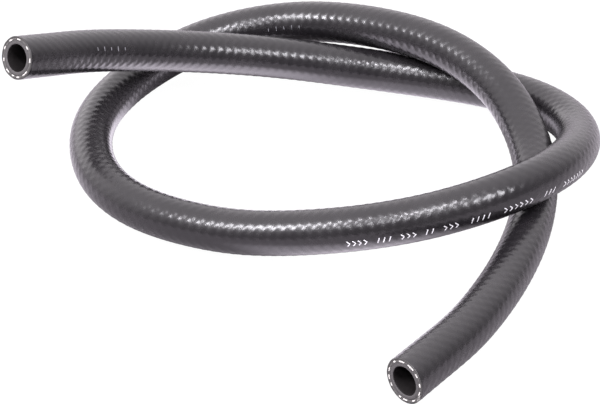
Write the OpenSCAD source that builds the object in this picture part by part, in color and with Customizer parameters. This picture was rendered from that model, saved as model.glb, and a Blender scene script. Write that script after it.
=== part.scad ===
// Length of textile-braided rubber hose, lying in a loose overhand knot.
// Three bonded full-length layers: rubber lining, textile braid, rubber cover.
// Millimetres. +Z is up and the hose lies on z = 0.
// Both ends are cut square and bare, with a straight round run for a fitting.

/* [Hose] */
// Outside diameter of the cover
hose_od = 20; // [19.8:0.1:20.2]
// Bore of the lining
bore_d = 12.7; // [12.3:0.1:12.9]
// Wall thickness of the rubber lining
lining_t = 1.9; // [1.7:0.1:1.9]
// Thickness of the textile braid between lining and cover
braid_t = 0.8; // [0.7:0.1:0.8]

/* [Ends] */
// Straight run at each cut end, where a fitting or clamp goes
end_straight = 26; // [20:1:30]

/* [Detail] */
// Sides of the swept layers between the straight runs
sides = 12; // [10:1:12]
// Rings in each span of the route
rings_per_span = 2; // [2:1:3]

/* [Hidden] */

// Radii of the layer faces: bore, lining to braid, braid to cover, outside.
r0 = bore_d / 2;
r1 = r0 + lining_t;
r2 = r1 + braid_t;
r3 = hose_od / 2;

// A ring of flat sides with the same area as the circle of radius r.
function ring_r(r) = r * sqrt(2 * PI / (sides * sin(360 / sides)));

// The two end rings reach a little way into the round wall that they meet and
// lie wholly inside it: clear of its outer circle and clear of its bore.
end_gap = 0.15;
end_reach = 0.5;
function end_outer_r(r) = r - end_gap;
function end_inner_r(r) = r / cos(180 / sides) + 0.02;

// The hose's route. The first and last points are where the straight runs end,
// the curve leaves them towards the next point, and the others shape the knot.
// For a 20 mm hose a centre height of 10 lies on the floor, and 30 and more
// passes over a crossing.
ROUTE = [
    [-111,  51, 51],
    [ -99,  64, 45],
    [ -79,  80, 36],
    [ -49,  94, 27],
    [ -11, 101, 20],
    [  24, 102, 14],
    [  58, 100, 10],
    [ 103,  87, 10],
    [ 126,  62, 12],
    [ 131,  32, 17],
    [ 119,  -6, 29],
    [  95, -33, 33],
    [  56, -45, 26],
    [  17, -45, 19],
    [ -19, -39, 13],
    [ -43, -31, 11],
    [ -74, -15, 10],
    [ -94,  12, 10],
    [-100,  50, 10],
    [ -90,  83, 10],
    [ -72, 109, 11],
    [ -48, 124, 17],
    [ -16, 129, 23],
    [  14, 123, 28],
    [  46, 107, 32],
    [  74,  88, 32],
    [  98,  62, 24],
    [ 109,  26, 12],
    [ 106,  -7, 10],
    [ 100, -36, 10],
    [  88, -69, 10],
    [  71, -101, 10],
    [  59, -116, 10]
];

// Moves the knot so that its box is centred on the origin. A thinner or thicker
// hose is also lowered or raised, so that it still lies on the floor.
place = [-1.5, 2.6, r3 - 10];

last = len(ROUTE) - 1;

// One mirrored point before the first and one after the last make the curve
// start and end exactly on those points, with no bend there.
CTRL = concat(
    [2 * ROUTE[0] - ROUTE[1]],
    ROUTE,
    [2 * ROUTE[last] - ROUTE[last - 1]]
);
spans = len(CTRL) - 3;
ring_count = spans * rings_per_span + 1;

// Cubic B-spline: the point and the direction at parameter t of span i.
function b_point(i, t) = (
    pow(1 - t, 3) * CTRL[i]
    + (3 * pow(t, 3) - 6 * t * t + 4) * CTRL[i + 1]
    + (-3 * pow(t, 3) + 3 * t * t + 3 * t + 1) * CTRL[i + 2]
    + pow(t, 3) * CTRL[i + 3]) / 6;
function b_slope(i, t) = (
    -pow(1 - t, 2) * CTRL[i]
    + (3 * t * t - 4 * t) * CTRL[i + 1]
    + (-3 * t * t + 2 * t + 1) * CTRL[i + 2]
    + t * t * CTRL[i + 3]) / 2;

function unit(v) = v / norm(v);
function span_of(k) = min(floor(k / rings_per_span), spans - 1);
function along(k) = unit(b_slope(span_of(k), k / rings_per_span - span_of(k)));
function reach(k) = k == 0 ? -end_reach : k == ring_count - 1 ? end_reach : 0;
function centre(k) = b_point(span_of(k), k / rings_per_span - span_of(k))
    + reach(k) * along(k);
function across(d) = unit(cross(d, [0, 0, 1]));
function upward(d) = cross(across(d), d);

// One ring of the sweep, with its corners at radius R: flat sides face down and up.
function ring(k, R) = let (
        c = centre(k), d = along(k), s = across(d), u = upward(d))
    [for (j = [0 : sides - 1])
        let (a = -90 + (j + 0.5) * 360 / sides)
        c + R * cos(a) * s + R * sin(a) * u];
function at_end(k) = k == 0 || k == ring_count - 1;

// Tube wall between two radii along the whole curved route.
module swept_wall(ri, ro) {
    n = ring_count;
    m = sides;
    pts = concat(
        [for (k = [0 : n - 1]) each ring(k, at_end(k) ? end_outer_r(ro) : ring_r(ro))],
        [for (k = [0 : n - 1]) each ring(k, at_end(k) ? end_inner_r(ri) : ring_r(ri))]
    );
    inner = n * m;
    faces = concat(
        [for (k = [0 : n - 2], j = [0 : m - 1])
            each let (a = k * m + j, b = k * m + (j + 1) % m, c = b + m, d = a + m)
                [[a, b, c], [a, c, d]]],
        [for (k = [0 : n - 2], j = [0 : m - 1])
            each let (a = inner + k * m + j, b = inner + k * m + (j + 1) % m,
                      c = b + m, d = a + m)
                [[c, b, a], [d, c, a]]],
        [for (j = [0 : m - 1])
            let (a = j, b = (j + 1) % m)
                [b, a, inner + a, inner + b]],
        [for (j = [0 : m - 1])
            let (a = (n - 1) * m + j, b = (n - 1) * m + (j + 1) % m)
                [a, b, inner + b, inner + a]]
    );
    polyhedron(pts, faces, convexity = 12);
}

// Straight round wall from point p along direction d.
module straight_wall(p, d, ri, ro) {
    translate(p)
        rotate([0, acos(d[2]), atan2(d[1], d[0])])
            difference() {
                cylinder(h = end_straight, r = ro, $fn = 64);
                translate([0, 0, -1])
                    cylinder(h = end_straight + 2, r = ri, $fn = 64);
            }
}

// One full-length layer: cut end, curved route, cut end.
module layer(ri, ro) {
    translate(place) {
        swept_wall(ri, ro);
        straight_wall(ROUTE[0], unit(ROUTE[0] - ROUTE[1]), ri, ro);
        straight_wall(ROUTE[last], unit(ROUTE[last] - ROUTE[last - 1]), ri, ro);
    }
}

// Smooth black rubber lining with the bore.
module inner_tube() {
    color([0.20, 0.20, 0.21]) layer(r0, r1);
}

// Sleeve of braided white textile yarn.
module textile_braid() {
    color([0.80, 0.79, 0.76]) layer(r1, r2);
}

// Thin black rubber cover.
module outer_cover() {
    color([0.13, 0.13, 0.14]) layer(r2, r3);
}

inner_tube();
textile_braid();
outer_cover();
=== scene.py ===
import math

import bpy
import numpy as np
from mathutils import Matrix, Vector


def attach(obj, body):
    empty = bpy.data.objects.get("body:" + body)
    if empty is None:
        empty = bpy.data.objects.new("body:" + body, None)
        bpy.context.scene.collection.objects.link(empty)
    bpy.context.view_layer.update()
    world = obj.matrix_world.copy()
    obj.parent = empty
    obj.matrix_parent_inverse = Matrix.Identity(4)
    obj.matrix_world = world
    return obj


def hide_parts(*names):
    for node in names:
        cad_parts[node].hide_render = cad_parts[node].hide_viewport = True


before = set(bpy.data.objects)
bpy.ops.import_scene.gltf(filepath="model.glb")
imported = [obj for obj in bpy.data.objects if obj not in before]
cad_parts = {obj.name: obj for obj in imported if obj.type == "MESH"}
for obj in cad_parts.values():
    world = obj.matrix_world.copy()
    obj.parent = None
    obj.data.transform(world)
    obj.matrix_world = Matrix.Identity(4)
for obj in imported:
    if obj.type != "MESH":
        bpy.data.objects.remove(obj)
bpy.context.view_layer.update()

# ----------------------------------------------------------------------------
# Hose facts, in metres. ROUTE and PLACE are part.scad's own numbers.
# ----------------------------------------------------------------------------
MM = 0.001
ROUTE = np.array([
    (-111, 51, 51), (-99, 64, 45), (-79, 80, 36), (-49, 94, 27), (-11, 101, 20),
    (24, 102, 14), (58, 100, 10), (103, 87, 10), (126, 62, 12), (131, 32, 17),
    (119, -6, 29), (95, -33, 33), (56, -45, 26), (17, -45, 19), (-19, -39, 13),
    (-43, -31, 11), (-74, -15, 10), (-94, 12, 10), (-100, 50, 10), (-90, 83, 10),
    (-72, 109, 11), (-48, 124, 17), (-16, 129, 23), (14, 123, 28), (46, 107, 32),
    (74, 88, 32), (98, 62, 24), (109, 26, 12), (106, -7, 10), (100, -36, 10),
    (88, -69, 10), (71, -101, 10), (59, -116, 10),
], float) * MM
PLACE = np.array((-1.5, 2.6, 0.0)) * MM
END_STRAIGHT = 26 * MM
R_BORE, R_LINING, R_BRAID, R_COVER = 6.35 * MM, 8.25 * MM, 9.05 * MM, 10.0 * MM
UP = np.array((0.0, 0.0, 1.0))


def unit(v):
    v = np.asarray(v, float)
    return v / np.linalg.norm(v, axis=-1, keepdims=True)


# ----------------------------------------------------------------------------
# Centreline: straight run, cubic B-spline, straight run
# ----------------------------------------------------------------------------
def centreline(per_span=48):
    ctrl = np.vstack([2 * ROUTE[0] - ROUTE[1], ROUTE, 2 * ROUTE[-1] - ROUTE[-2]])
    t = np.arange(per_span) / per_span
    w = np.stack([(1 - t) ** 3, 3 * t ** 3 - 6 * t ** 2 + 4,
                  -3 * t ** 3 + 3 * t ** 2 + 3 * t + 1, t ** 3], 1) / 6
    curve = np.vstack([w @ ctrl[i:i + 4] for i in range(len(ctrl) - 3)] + [ROUTE[-1]])
    out_a, out_b = unit(ROUTE[0] - ROUTE[1]), unit(ROUTE[-1] - ROUTE[-2])
    run = np.linspace(END_STRAIGHT, 0, 12, endpoint=False)[:, None]
    return np.vstack([ROUTE[0] + out_a * run, curve, ROUTE[-1] + out_b * run[::-1]]) + PLACE


LINE = centreline()
LINE_S = np.r_[0, np.cumsum(np.linalg.norm(np.diff(LINE, axis=0), axis=1))]
LENGTH = float(LINE_S[-1])
LINE_T = unit(np.gradient(LINE, LINE_S, axis=0))
OUT_A, OUT_B = -LINE_T[0], LINE_T[-1]


def place(s):
    """Centre, direction, sideways and upward vectors at arc lengths s; straight beyond the ends."""
    s = np.asarray(s, float)
    c = np.stack([np.interp(s, LINE_S, LINE[:, k]) for k in range(3)], -1)
    t = unit(np.stack([np.interp(s, LINE_S, LINE_T[:, k]) for k in range(3)], -1))
    over = np.minimum(s, 0) + np.maximum(s - LENGTH, 0)
    c = c + over[..., None] * t
    a = unit(np.cross(t, UP))
    return c, t, a, np.cross(a, t)


# The knife went through end B at a slant of about 9 degrees.
_, _, SIDE_B, RISE_B = place(LENGTH)
CUT_B = unit((-0.725, -0.687, 0.061))
SLANT_SIDE = -float(SIDE_B @ CUT_B) / float(OUT_B @ CUT_B)
SLANT_RISE = -float(RISE_B @ CUT_B) / float(OUT_B @ CUT_B)


def smooth(x, lo, hi):
    x = np.clip((np.asarray(x, float) - lo) / (hi - lo), 0, 1)
    return x * x * (3 - 2 * x)


def surface(s, th, r):
    """Points at arc length s, angle th from the sideways vector towards up, radius r."""
    s, th, r = np.broadcast_arrays(np.asarray(s, float), np.asarray(th, float), np.asarray(r, float))
    slant = smooth(s, LENGTH - 14 * MM, LENGTH - 1 * MM)
    s2 = s + slant * r * (SLANT_SIDE * np.cos(th) + SLANT_RISE * np.sin(th))
    c, t, a, u = place(s2)
    return c + (r * np.cos(th))[..., None] * a + (r * np.sin(th))[..., None] * u


# ----------------------------------------------------------------------------
# Camera first, then the hose
# ----------------------------------------------------------------------------
PITCH, HEADING, FAR = math.radians(34.36), math.radians(0.3), 1.023
CAM_RIGHT = np.array((math.cos(HEADING), math.sin(HEADING), 0))
CAM_LEVEL = np.array((-math.sin(HEADING), math.cos(HEADING), 0))
CAM_AHEAD = CAM_LEVEL * math.cos(PITCH) - UP * math.sin(PITCH)
CAM_UP = CAM_LEVEL * math.sin(PITCH) + UP * math.cos(PITCH)
AIM = np.array((0, 0.005, 0)) + PLACE + 0.000214 * CAM_RIGHT + 0.000205 * CAM_UP

cam_data = bpy.data.cameras.new("camera")
cam_data.sensor_width = 36.0
cam_data.sensor_fit = "HORIZONTAL"
cam_data.lens = 2247.0 / 600.0 * 36.0
cam_data.clip_start, cam_data.clip_end = 0.05, 60.0
camera = bpy.data.objects.new("camera", cam_data)
bpy.context.scene.collection.objects.link(camera)
camera.matrix_world = Matrix((
    (*(float(x) for x in (CAM_RIGHT[0], CAM_UP[0], -CAM_AHEAD[0])), float(AIM[0] - FAR * CAM_AHEAD[0])),
    (*(float(x) for x in (CAM_RIGHT[1], CAM_UP[1], -CAM_AHEAD[1])), float(AIM[1] - FAR * CAM_AHEAD[1])),
    (*(float(x) for x in (CAM_RIGHT[2], CAM_UP[2], -CAM_AHEAD[2])), float(AIM[2] - FAR * CAM_AHEAD[2])),
    (0, 0, 0, 1)))
bpy.context.scene.camera = camera

# ----------------------------------------------------------------------------
# Braid impression: two crossing helical rib families, nine ribs each way
# ----------------------------------------------------------------------------
RIBS, PITCH_S = 9, 4.4 * MM
SEGS = 63          # seven to a rib
STEP = PITCH_S / 5


def wander(s, seed, waves=4, longest=0.31):
    """A slow smooth number from about -1 to 1 along the hose."""
    rng = np.random.default_rng(seed)
    s = np.asarray(s, float)
    out = np.zeros_like(s)
    for k in range(waves):
        out += np.sin(2 * math.pi * s / (longest / (1.7 ** k)) + rng.uniform(0, 6.28)) / (1 + 0.5 * k)
    return out / 2.0


def relief(s, th):
    """Height of the cover's surface over its mean radius."""
    s, th = np.broadcast_arrays(np.asarray(s, float), np.asarray(th, float))
    p1 = RIBS * th + 2 * math.pi * s / PITCH_S
    p2 = RIBS * th - 2 * math.pi * s / PITCH_S
    deep = 1 + 0.16 * wander(s, 5, longest=0.2) + 0.08 * np.sin(2 * th + 9 * s / 0.4)
    # plain braid: at every other crossing the first family lies on top
    over = np.cos(p1 / 2) * np.cos(p2 / 2)
    over = over * (1.5 - 0.5 * over * over)
    r1 = np.cos(p1) + 0.16 * np.cos(2 * p1)
    r2 = np.cos(p2) + 0.16 * np.cos(2 * p2)
    w = (0.5 + 0.5 * over) * r1 + (0.5 - 0.5 * over) * r2
    lumps = 0.35 * wander(s + 0.004 * np.cos(th), 11, waves=6, longest=0.09) * np.cos(th + 40 * s)
    return RELIEF * w * deep + 0.045 * MM * lumps


RELIEF = 0.060 * MM
COVER_MEAN = R_COVER - 0.07 * MM


# ----------------------------------------------------------------------------
# Mesh helpers
# ----------------------------------------------------------------------------
def new_object(name, verts, faces, uv=None, smooth_faces=True):
    mesh = bpy.data.meshes.new(name)
    mesh.from_pydata([tuple(map(float, v)) for v in verts], [], [tuple(map(int, f)) for f in faces])
    if smooth_faces:
        mesh.polygons.foreach_set("use_smooth", np.ones(len(mesh.polygons), bool))
    if uv is not None:
        layer = mesh.uv_layers.new(name="hose")
        layer.data.foreach_set("uv", np.asarray(uv, np.float32).ravel())
    mesh.update()
    obj = bpy.data.objects.new(name, mesh)
    bpy.context.scene.collection.objects.link(obj)
    return obj


def lathe_along(name, rings, segs):
    """A closed wall: each ring is (s, radius function or number, cut 0..1); the last ring joins the first."""
    th = np.arange(segs) * 2 * math.pi / segs
    n = len(rings)
    verts = np.zeros((n, segs, 3))
    for k, (s, r, _) in enumerate(rings):
        rr = r(s, th) if callable(r) else np.full(segs, r)
        verts[k] = surface(np.full(segs, s), th, rr)
    k = np.arange(n)[:, None]
    j = np.arange(segs)[None, :]
    k2, j2 = (k + 1) % n, (j + 1) % segs
    quads = np.stack(np.broadcast_arrays(k * segs + j, k2 * segs + j, k2 * segs + j2, k * segs + j2), -1).reshape(-1, 4)
    u = np.stack(np.broadcast_arrays(j / segs, j / segs, (j + 1) / segs, (j + 1) / segs), -1)
    sv = np.array([r[0] for r in rings])
    v = np.stack(np.broadcast_arrays(sv[k], sv[k2], sv[k2], sv[k]), -1)
    uv = np.stack([np.broadcast_to(u, (n, segs, 4)), np.broadcast_to(v, (n, segs, 4))], -1).reshape(-1, 2)
    # outward: test one quad on the first ring's wall
    flat = verts.reshape(-1, 3)
    q = flat[quads[segs * 5]]
    nrm = np.cross(q[1] - q[0], q[2] - q[0])
    c = place(rings[5][0])[0]
    if nrm @ (q.mean(0) - c) < 0:
        quads = quads[:, ::-1]
        uv = uv.reshape(-1, 4, 2)[:, ::-1].reshape(-1, 2)
    obj = new_object(name, flat, quads, uv)
    cut = obj.data.attributes.new("cut", "FLOAT", "POINT")
    cut.data.foreach_set("value", np.repeat([r[2] for r in rings], segs).astype(np.float32))
    return obj


def spread(a, b, step):
    n = max(2, int(round((b - a) / step)) + 1)
    return list(np.linspace(a, b, n))


# Where the hidden walls have their rings: fine near the ends, coarse between.
INNER_S = ([0.5 * MM, 1.5 * MM, 3 * MM, 6 * MM] + spread(11 * MM, LENGTH - 11 * MM, 7.5 * MM)
           + [LENGTH - 6 * MM, LENGTH - 3 * MM, LENGTH - 1.5 * MM, LENGTH - 0.5 * MM])


# Cover: the outside with its relief, the cut faces, and the wall that the braid is bonded to.
def cover_r(s, th):
    return COVER_MEAN + relief(s, th)


def cut_edge(drop):
    return lambda s, th: COVER_MEAN + relief(s, th) - drop - 0.03 * MM * np.sin(5 * th + 1.3) ** 2


E = LENGTH
cover_rings = [(s, cover_r, 0.0) for s in spread(0.9 * MM, E - 0.9 * MM, STEP)]
cover_rings = ([(0.30 * MM, cover_r, 0.0)] + cover_rings + [(E - 0.30 * MM, cover_r, 0.0)])
face_b = [
    (E - 0.08 * MM, cut_edge(0.05 * MM), 0.5),
    (E + 0.00 * MM, cut_edge(0.14 * MM), 1.0),
    (E + 0.02 * MM, 9.55 * MM, 1.0),
    (E - 0.01 * MM, 9.20 * MM, 1.0),
    (E - 0.10 * MM, 9.05 * MM, 1.0),
]
face_a = [(E - s, r, c) for s, r, c in face_b][::-1]
inner = [(s, R_BRAID, 0.0) for s in INNER_S][::-1]
cover = lathe_along("hose_cover", cover_rings + face_b + inner + face_a, SEGS)

# Lining: smooth bore, cut faces that the knife left a little proud around the bore.
bore_s = [0.30 * MM] + INNER_S[1:-1] + [E - 0.30 * MM]
lining_face_b = [
    (E - 0.12 * MM, 6.40 * MM, 0.7),
    (E - 0.02 * MM, 6.52 * MM, 1.0),
    (E + 0.06 * MM, 6.80 * MM, 1.0),
    (E + 0.09 * MM, 7.15 * MM, 1.0),
    (E + 0.04 * MM, 7.60 * MM, 0.85),
    (E - 0.04 * MM, 7.95 * MM, 0.75),
    (E - 0.14 * MM, 8.22 * MM, 0.55),
]
lining_face_a = [(E - s, r, c) for s, r, c in lining_face_b][::-1]
lining = lathe_along(
    "hose_lining",
    [(s, R_LINING, 0.0) for s in INNER_S] + lining_face_b[::-1]
    + [(s, R_BORE, 0.0) for s in bore_s][::-1] + lining_face_a[::-1], SEGS)

# Braid: the rubber-soaked sleeve between them; its yarn ends show at the cuts.
braid_face_b = [
    (E - 0.10 * MM, 9.03 * MM, 1.0),
    (E - 0.06 * MM, 8.80 * MM, 1.0),
    (E - 0.05 * MM, 8.50 * MM, 1.0),
    (E - 0.10 * MM, 8.27 * MM, 1.0),
]
braid_face_a = [(E - s, r, c) for s, r, c in braid_face_b][::-1]
braid = lathe_along(
    "hose_braid",
    [(s, R_BRAID - 0.02 * MM, 0.0) for s in INNER_S] + braid_face_b
    + [(s, R_LINING + 0.02 * MM, 0.0) for s in INNER_S][::-1] + braid_face_a, SEGS)


# ----------------------------------------------------------------------------
# Yarn ends at the two cuts
# ----------------------------------------------------------------------------
def tube(points, radii, sides=6, start=0):
    """Vertices and faces of one closed thin tube with rounded tips."""
    points = np.asarray(points, float)
    t = unit(np.gradient(points, axis=0))
    ref = np.array((0.3, -0.5, 0.81)) if abs(t[0] @ UP) > 0.9 else UP
    a = unit(np.cross(t, ref))
    b = np.cross(t, a)
    an = np.arange(sides) * 2 * math.pi / sides
    rings = points[:, None] + np.asarray(radii)[:, None, None] * (
        np.cos(an)[None, :, None] * a[:, None] + np.sin(an)[None, :, None] * b[:, None])
    n = len(points)
    verts = np.vstack([rings.reshape(-1, 3), points[0] - t[0] * radii[0] * 0.5, points[-1] + t[-1] * radii[-1] * 0.5])
    faces = [(start + k * sides + j, start + k * sides + (j + 1) % sides,
              start + (k + 1) * sides + (j + 1) % sides, start + (k + 1) * sides + j)
             for k in range(n - 1) for j in range(sides)]
    lo, hi = start + n * sides, start + n * sides + 1
    faces += [(lo, start + (j + 1) % sides, start + j) for j in range(sides)]
    faces += [(hi, start + (n - 1) * sides + j, start + (n - 1) * sides + (j + 1) % sides) for j in range(sides)]
    return verts, faces


rng = np.random.default_rng(20)
yv, yf = [], []


def add_tube(points, radii, sides=6):
    v, f = tube(points, radii, sides, sum(len(x) for x in yv))
    yv.append(v)
    yf.extend(f)


# One entry for each yarn end: its middle angle in degrees, its width along the ring in mm,
# and how far out it sits in mm.
YARNS_A = [(167, 1.7, 8.72), (131, 1.9, 8.62), (95, 1.9, 8.70), (52, 1.5, 8.62), (12, 2.0, 8.70),
           (324, 3.4, 8.64), (290, 1.6, 8.74), (268, 1.4, 8.60), (242, 2.2, 8.70), (205, 1.5, 8.62)]
YARNS_B = [(45, 1.2, 8.70), (75, 2.9, 8.62), (108, 3.3, 8.72), (136, 1.5, 8.62), (163, 1.5, 8.72),
           (190, 1.7, 8.62), (228, 1.8, 8.70), (262, 2.0, 8.62), (281, 1.0, 8.74), (322, 1.4, 8.64),
           (343, 1.7, 8.72), (8, 1.9, 8.62)]

for yarns, at_b in ((YARNS_A, False), (YARNS_B, True)):
    for n, (deg, wide, rad) in enumerate(yarns):
        count = max(3, int(round(wide / 0.27)))
        for i in range(count):
            off = (i - (count - 1) / 2) * wide / count
            th0 = math.radians(deg) + off / rad
            lean = math.radians(35) * (1 if n % 2 else -1)
            for ply in (-0.19, 0.10):     # two plies deep, like the braid
                out = rng.uniform(0.05, 0.20) * MM
                rows = []
                for d in np.linspace(-1.6, 1, 6):
                    depth = 0.9 * MM * d if d < 0 else out * d
                    th = th0 + math.tan(lean) * min(depth, 0) / (rad * MM)
                    s = (E + depth) if at_b else -depth
                    rr = (rad + ply + rng.normal(0, 0.025)) * MM
                    rows.append(surface(s, th, rr))
                r = 0.175 * MM * rng.uniform(0.85, 1.1)
                add_tube(rows, [r, r, r, r, r, r * 0.8])

# A few frayed filaments at end B.
for deg, out, bend in ((196, 1.6, 0.9), (202, 1.9, -0.6), (209, 1.2, 0.4), (188, 1.0, 1.2), (268, 0.8, 0.5), (52, 0.9, -0.4)):
    rows = []
    for d in np.linspace(0, 1, 7):
        th = math.radians(deg) + bend * d * d * 0.18
        rows.append(surface(E + (-0.5 + (out * 0.8) * d) * MM, th, (8.7 + 1.5 * out * 0.55 * d * d) * MM))
    add_tube(rows, list(np.linspace(0.06, 0.03, 7) * MM), 5)
yarn_ends = new_object("yarn_ends", np.vstack(yv), yf)


# ----------------------------------------------------------------------------
# Ink line: plain chevrons, dots and dashes where the hose is printed
# ----------------------------------------------------------------------------
INK_LIFT = 0.035 * MM
ink_v, ink_f = [], []


def skin(s, th, lift):
    return surface(s, th, COVER_MEAN + relief(s, th) + lift)


def stroke(s0, a0, s1, a1, width):
    """One flat ink stroke from (s0, a0) to (s1, a1): s along the hose, a around it, both in mm."""
    n = max(2, int(math.hypot(s1 - s0, a1 - a0) / 0.45) + 1)
    p = np.linspace((s0, a0), (s1, a1), n)
    d = np.array((s1 - s0, a1 - a0)) / math.hypot(s1 - s0, a1 - a0)
    side = np.array((-d[1], d[0])) * width / 2
    start = sum(len(x) for x in ink_v)
    rows = []
    for lift in (INK_LIFT, -0.06 * MM):
        for sg in (-1, 1):
            q = p + sg * side
            rows.append(skin(q[:, 0] * MM, q[:, 1] / 10.0, lift))
    ink_v.append(np.vstack(rows))
    tl, tr, bl, br = (start + i * n for i in range(4))
    for k in range(n - 1):
        ink_f.append((tl + k, tl + k + 1, tr + k + 1, tr + k))
        ink_f.append((bl + k, br + k, br + k + 1, bl + k + 1))
        ink_f.append((tl + k, bl + k, bl + k + 1, tl + k + 1))
        ink_f.append((tr + k, tr + k + 1, br + k + 1, br + k))
    ink_f.append((tl, tr, br, bl))
    e = n - 1
    ink_f.append((tl + e, bl + e, br + e, tr + e))


def chevron(s, a, tall=2.7, deep=1.15, width=0.42):
    stroke(s + deep / 2, a - tall / 2, s - deep / 2, a, width)
    stroke(s - deep / 2, a, s + deep / 2, a + tall / 2, width)


def tick(s, a, tall=2.7, lean=0.5, width=0.42):
    stroke(s - lean, a - tall / 2, s + lean, a + tall / 2, width)


INK_A = math.radians(186) * 10.0     # around the hose, in mm at the cover's radius
# Groups along the hose: start, number of marks, kind.
GROUPS = [(363.0, 7, "chevron"), (384.0, 3, "tick"), (396.0, 6, "chevron"), (415.0, 4, "tick"),
          (428.5, 3, "chevron"), (438.5, 2, "tick"), (446.0, 3, "chevron"), (456.0, 3, "tick"), (466.0, 4, "chevron")]
for start_s, count, kind in GROUPS:
    for i in range(count):
        s = start_s + 2.35 * i
        (chevron if kind == "chevron" else tick)(s, INK_A)
ink = new_object("ink_marks", np.vstack(ink_v), ink_f, smooth_faces=False)

# Two short rows of moulded ticks, where the hose carries its small grey code.
ink_v, ink_f = [], []
for start_s, deg, count in ((42.0, 28, 5), (771.0, 14, 5)):
    a = math.radians(deg) * 10.0
    for i in range(count):
        tick(start_s + 4.3 * i, a, tall=2.2 if i % 2 else 1.5, lean=0.0, width=0.28)
ticks = new_object("tick_marks", np.vstack(ink_v), ink_f, smooth_faces=False)


# ----------------------------------------------------------------------------
# Materials
# ----------------------------------------------------------------------------
class Graph:
    def __init__(self, name):
        self.mat = bpy.data.materials.new(name)
        self.mat.use_nodes = True
        self.nodes = self.mat.node_tree.nodes
        self.links = self.mat.node_tree.links
        self.bsdf = next(n for n in self.nodes if n.type == "BSDF_PRINCIPLED")

    def add(self, kind, **props):
        n = self.nodes.new(kind)
        for k, v in props.items():
            setattr(n, k, v)
        return n

    def link(self, a, b):
        self.links.new(a, b)

    def math(self, op, a, b=None, clamp=False):
        n = self.add("ShaderNodeMath", operation=op, use_clamp=clamp)
        for i, x in enumerate((a, b)):
            if x is None:
                continue
            if isinstance(x, (int, float)):
                n.inputs[i].default_value = x
            else:
                self.link(x, n.inputs[i])
        return n.outputs[0]

    def noise(self, scale, detail=3.0, rough=0.5, vector=None):
        n = self.add("ShaderNodeTexNoise")
        n.inputs["Scale"].default_value = scale
        n.inputs["Detail"].default_value = detail
        n.inputs["Roughness"].default_value = rough
        if vector is not None:
            self.link(vector, n.inputs["Vector"])
        return n.outputs["Fac"]

    def ramp(self, fac, stops):
        n = self.add("ShaderNodeValToRGB")
        while len(n.color_ramp.elements) < len(stops):
            n.color_ramp.elements.new(0.5)
        for e, (pos, col) in zip(n.color_ramp.elements, stops):
            e.position = pos
            e.color = (*col, 1) if len(col) == 3 else col
        self.link(fac, n.inputs["Fac"])
        return n.outputs["Color"]

    def mix(self, fac, a, b):
        n = self.add("ShaderNodeMix", data_type="RGBA")
        for sock, x in ((n.inputs["Factor"], fac), (n.inputs[6], a), (n.inputs[7], b)):
            if isinstance(x, (int, float)):
                sock.default_value = x
            elif isinstance(x, tuple):
                sock.default_value = (*x, 1)
            else:
                self.link(x, sock)
        return n.outputs[2]


def object_coords(g):
    return g.add("ShaderNodeTexCoord").outputs["Object"]


def cover_material():
    g = Graph("cover_rubber")
    uv = g.add("ShaderNodeUVMap", uv_map="hose").outputs["UV"]
    sep = g.add("ShaderNodeSeparateXYZ")
    g.link(uv, sep.inputs[0])
    around, along = sep.outputs[0], sep.outputs[1]
    xyz = object_coords(g)
    # crossing yarn lines, three to a rib, pressed faintly into the cover
    turn = g.math("MULTIPLY", around, 2 * math.pi * RIBS)
    run = g.math("MULTIPLY", along, 2 * math.pi / PITCH_S)
    p1, p2 = g.math("ADD", turn, run), g.math("SUBTRACT", turn, run)
    over = g.math("MULTIPLY", g.math("COSINE", g.math("MULTIPLY", p1, 0.5)), g.math("COSINE", g.math("MULTIPLY", p2, 0.5)))
    half = g.math("MULTIPLY_ADD", over, 0.5)
    half.node.inputs[2].default_value = 0.5
    rest = g.math("SUBTRACT", 1.0, half)
    lines = g.math("ADD", g.math("MULTIPLY", half, g.math("COSINE", g.math("MULTIPLY", p1, 4.0))),
                   g.math("MULTIPLY", rest, g.math("COSINE", g.math("MULTIPLY", p2, 4.0))))
    ribs = g.math("ADD", g.math("COSINE", p1), g.math("COSINE", p2))
    fine = g.noise(1400, 4, 0.6, xyz)
    broad = g.noise(60, 3, 0.5, xyz)
    weave = g.math("ADD", g.math("MULTIPLY", half, g.math("COSINE", p1)), g.math("MULTIPLY", rest, g.math("COSINE", p2)))
    height = g.math("ADD", g.math("MULTIPLY", lines, 0.08), g.math("MULTIPLY", fine, 0.18))
    height = g.math("ADD", height, g.math("MULTIPLY", weave, 0.62))
    bump = g.add("ShaderNodeBump")
    bump.inputs["Strength"].default_value = 0.5
    bump.inputs["Distance"].default_value = 0.00008
    g.link(height, bump.inputs["Height"])
    g.link(bump.outputs["Normal"], g.bsdf.inputs["Normal"])
    # colour: charcoal, slightly warm and purple, with chalky grey dust in patches
    tone = g.math("ADD", g.math("MULTIPLY", broad, 0.75), g.math("MULTIPLY", fine, 0.25))
    base = g.ramp(tone, [(0.30, (0.0078, 0.0070, 0.0082)), (0.52, (0.0105, 0.0095, 0.0108)), (0.72, (0.0152, 0.0138, 0.0152))])
    crest = g.math("MULTIPLY_ADD", ribs, 0.25)
    crest.node.inputs[2].default_value = 0.5
    base = g.mix(g.math("MULTIPLY", crest, 0.25, clamp=True), base, (0.019, 0.017, 0.019))
    cut = g.add("ShaderNodeAttribute", attribute_name="cut").outputs["Fac"]
    base = g.mix(cut, base, (0.040, 0.038, 0.037))
    g.link(base, g.bsdf.inputs["Base Color"])
    rough = g.math("ADD", g.math("MULTIPLY", broad, 0.16), g.math("MULTIPLY", fine, 0.10))
    rough = g.math("ADD", rough, 0.13)
    rough = g.math("ADD", rough, g.math("MULTIPLY", cut, 0.35), clamp=True)
    g.link(rough, g.bsdf.inputs["Roughness"])
    g.bsdf.inputs["IOR"].default_value = 1.52
    return g.mat


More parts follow.
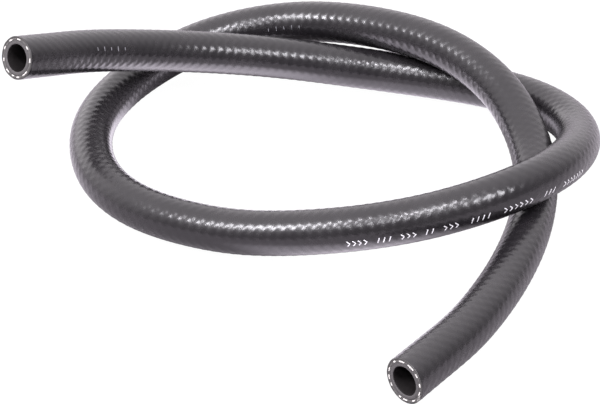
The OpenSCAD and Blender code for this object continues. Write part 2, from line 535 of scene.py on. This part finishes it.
def lining_material():
    g = Graph("lining_rubber")
    xyz = object_coords(g)
    cut = g.add("ShaderNodeAttribute", attribute_name="cut").outputs["Fac"]
    fine = g.noise(2600, 4, 0.6, xyz)
    wall = g.ramp(fine, [(0.35, (0.010, 0.009, 0.009)), (0.7, (0.018, 0.016, 0.016))])
    face = g.ramp(fine, [(0.30, (0.054, 0.051, 0.051)), (0.72, (0.092, 0.087, 0.087))])
    amount = g.math("POWER", cut, 1.4, clamp=True)
    g.link(g.mix(amount, wall, face), g.bsdf.inputs["Base Color"])
    rough = g.math("ADD", g.math("MULTIPLY", cut, 0.35), 0.40, clamp=True)
    g.link(rough, g.bsdf.inputs["Roughness"])
    bump = g.add("ShaderNodeBump")
    bump.inputs["Strength"].default_value = 0.4
    bump.inputs["Distance"].default_value = 0.00008
    g.link(g.noise(1500, 5, 0.65, xyz), bump.inputs["Height"])
    g.link(bump.outputs["Normal"], g.bsdf.inputs["Normal"])
    return g.mat


def braid_material():
    g = Graph("braid_sleeve")
    xyz = object_coords(g)
    fine = g.noise(1900, 4, 0.6, xyz)
    g.link(g.ramp(fine, [(0.3, (0.060, 0.058, 0.055)), (0.7, (0.125, 0.120, 0.115))]), g.bsdf.inputs["Base Color"])
    g.bsdf.inputs["Roughness"].default_value = 0.75
    bump = g.add("ShaderNodeBump")
    bump.inputs["Strength"].default_value = 0.5
    bump.inputs["Distance"].default_value = 0.0001
    g.link(fine, bump.inputs["Height"])
    g.link(bump.outputs["Normal"], g.bsdf.inputs["Normal"])
    return g.mat


def yarn_material():
    g = Graph("braid_yarn")
    xyz = object_coords(g)
    fine = g.noise(2200, 3, 0.6, xyz)
    g.link(g.ramp(fine, [(0.3, (0.50, 0.48, 0.45)), (0.65, (0.76, 0.75, 0.72))]), g.bsdf.inputs["Base Color"])
    g.bsdf.inputs["Roughness"].default_value = 0.6
    g.bsdf.inputs["Sheen Weight"].default_value = 0.3
    return g.mat


def ink_material(name, dark, light):
    g = Graph(name)
    xyz = object_coords(g)
    worn = g.noise(1300, 4, 0.65, xyz)
    g.link(g.ramp(worn, [(0.36, dark), (0.50, light)]), g.bsdf.inputs["Base Color"])
    g.bsdf.inputs["Roughness"].default_value = 0.55
    return g.mat


def finish(obj, mat):
    obj.data.materials.append(mat)
    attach(obj, "root")


finish(cover, cover_material())
finish(lining, lining_material())
finish(braid, braid_material())
finish(yarn_ends, yarn_material())
finish(ink, ink_material("marking_ink", (0.42, 0.41, 0.42), (0.80, 0.80, 0.82)))
finish(ticks, ink_material("moulded_grey", (0.10, 0.10, 0.11), (0.24, 0.24, 0.26)))
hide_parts("outer_cover")
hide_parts("inner_tube")
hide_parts("textile_braid")

# ----------------------------------------------------------------------------
# Floor, world and lights
# ----------------------------------------------------------------------------
def floor_disc(name, z, albedo, glow, tint=(1, 1, 1)):
    mesh = bpy.data.meshes.new(name)
    turn = np.linspace(0, 2 * math.pi, 65)[:-1]
    mesh.from_pydata([(12 * math.cos(x), 12 * math.sin(x), 0.0) for x in turn], [], [tuple(range(64))])
    obj = bpy.data.objects.new(name, mesh)
    bpy.context.scene.collection.objects.link(obj)
    obj.location.z = z
    g = Graph(name)
    g.bsdf.inputs["Base Color"].default_value = (albedo * tint[0], albedo * tint[1], albedo * tint[2], 1)
    g.bsdf.inputs["Roughness"].default_value = 1.0
    g.bsdf.inputs["Specular IOR Level"].default_value = 0.0
    g.bsdf.inputs["Emission Color"].default_value = (1, 1, 1, 1)
    g.bsdf.inputs["Emission Strength"].default_value = glow
    mesh.materials.append(g.mat)
    return obj


# The white floor that lights the hose from below, partly with painted pools of light, and the even white that is seen
# of it.
floor = floor_disc("floor", -0.0004, 0.42, 0.0, (1.0, 0.95, 1.0))
floor.visible_camera = False
# Painted pools of light: the floor glows in soft patches with no lamp behind them, placed so that the hose's lower rims
# reflect them. Each pool: centre, turn in degrees, half axes, strength.
PAINTED_LIGHT_POOLS = [((-0.038, 0.077), 9, (0.050, 0.018), 4.4), ((0.050, 0.086), -6, (0.062, 0.018), 1.9),
         ((0.014, -0.056), 4, (0.056, 0.016), 2.4), ((-0.140, 0.060), 0, (0.050, 0.080), 0.6)]
fm = floor.data.materials[0].node_tree
fn, fl = fm.nodes, fm.links
f_bsdf = next(n for n in fn if n.type == "BSDF_PRINCIPLED")
f_xyz = fn.new("ShaderNodeTexCoord").outputs["Object"]
f_sum = None
for f_at, f_turn, f_half, f_strength in PAINTED_LIGHT_POOLS:
    f_pool = fn.new("ShaderNodeMapping")
    f_pool.vector_type = "TEXTURE"
    f_pool.inputs["Location"].default_value = (*f_at, 0.0)
    f_pool.inputs["Rotation"].default_value = (0.0, 0.0, math.radians(f_turn))
    f_pool.inputs["Scale"].default_value = (*f_half, 1.0)
    f_len = fn.new("ShaderNodeVectorMath")
    f_len.operation = "LENGTH"
    f_fade = fn.new("ShaderNodeMapRange")
    f_fade.interpolation_type = "SMOOTHSTEP"
    f_fade.inputs["From Min"].default_value, f_fade.inputs["From Max"].default_value = 1.30, 0.45
    f_fade.inputs["To Max"].default_value = f_strength
    fl.new(f_xyz, f_pool.inputs["Vector"])
    fl.new(f_pool.outputs["Vector"], f_len.inputs[0])
    fl.new(f_len.outputs["Value"], f_fade.inputs["Value"])
    if f_sum is None:
        f_sum = f_fade.outputs["Result"]
    else:
        f_add = fn.new("ShaderNodeMath")
        f_add.operation = "ADD"
        fl.new(f_sum, f_add.inputs[0])
        fl.new(f_fade.outputs["Result"], f_add.inputs[1])
        f_sum = f_add.outputs[0]
# the summed pools drive the floor's painted glow, in a lavender tint
fl.new(f_sum, f_bsdf.inputs["Emission Strength"])
f_bsdf.inputs["Emission Color"].default_value = (0.95, 0.88, 1.0, 1)
floor_seen = floor_disc("floor_seen", -0.0002, 0.05, 0.98)
floor_seen.visible_diffuse = floor_seen.visible_glossy = False
floor_seen.visible_transmission = floor_seen.visible_shadow = False

world = bpy.data.worlds.new("studio")
world.use_nodes = True
bpy.context.scene.world = world
wn, wl = world.node_tree.nodes, world.node_tree.links
wn.clear()
out = wn.new("ShaderNodeOutputWorld")
bg = wn.new("ShaderNodeBackground")
coord = wn.new("ShaderNodeTexCoord")
dot = wn.new("ShaderNodeVectorMath")
dot.operation = "DOT_PRODUCT"
dot.inputs[1].default_value = tuple(float(x) for x in unit(CAM_LEVEL * 0.64 - CAM_RIGHT * 0.30 + UP * 0.71))
ramp = wn.new("ShaderNodeValToRGB")
while len(ramp.color_ramp.elements) < 4:
    ramp.color_ramp.elements.new(0.5)
for w_stop, (w_at, w_level) in zip(ramp.color_ramp.elements, ((0.38, 0.20), (0.55, 0.40), (0.70, 0.70), (0.90, 1.0))):
    w_stop.position = w_at
    w_stop.color = (w_level, 0.955 * w_level, w_level, 1)
half = wn.new("ShaderNodeMath")
half.operation = "MULTIPLY_ADD"
half.inputs[1].default_value = 0.5
half.inputs[2].default_value = 0.5
wl.new(coord.outputs["Generated"], dot.inputs[0])
wl.new(dot.outputs["Value"], half.inputs[0])
wl.new(half.outputs[0], ramp.inputs["Fac"])
wl.new(ramp.outputs["Color"], bg.inputs["Color"])
bg.inputs["Strength"].default_value = 1.88
wl.new(bg.outputs[0], out.inputs[0])


def panel(name, azimuth, elevation, size, radiance, color=(1, 1, 1), tall=None, far=3.2):
    """A soft light. Azimuth 0 is ahead of the camera, 90 to its right, 180 behind it."""
    az, el = math.radians(azimuth), math.radians(elevation)
    d = (CAM_LEVEL * math.cos(az) + CAM_RIGHT * math.sin(az)) * math.cos(el) + UP * math.sin(el)
    light = bpy.data.lights.new(name, "AREA")
    light.shape = "RECTANGLE"
    light.size = size
    light.size_y = tall or size
    light.energy = radiance * math.pi * light.size * light.size_y
    light.color = color
    obj = bpy.data.objects.new(name, light)
    bpy.context.scene.collection.objects.link(obj)
    obj.location = Vector(d * far)
    obj.rotation_mode = "QUATERNION"
    obj.rotation_quaternion = Vector(d).to_track_quat("Z", "Y")
    obj.visible_camera = False
    return obj


COOL = (0.965, 0.945, 1.0)
panel("key_left", -128, 53, 0.40, 60, COOL, tall=1.10)
panel("key_behind", 178, 65, 0.42, 60, COOL, tall=0.60)
panel("low_behind", -170, 46, 0.50, 24, COOL, tall=0.50)
panel("key_right", 140, 46, 0.72, 28, COOL, tall=0.78)
panel("wall_left", -38, 10, 2.6, 0.7, (1.0, 0.96, 0.98), tall=1.6)

view = bpy.context.scene.view_settings
view.view_transform = "Standard"
view.look = "None"
view.exposure = 0.0
view.gamma = 1.0

bpy.context.view_layer.update()
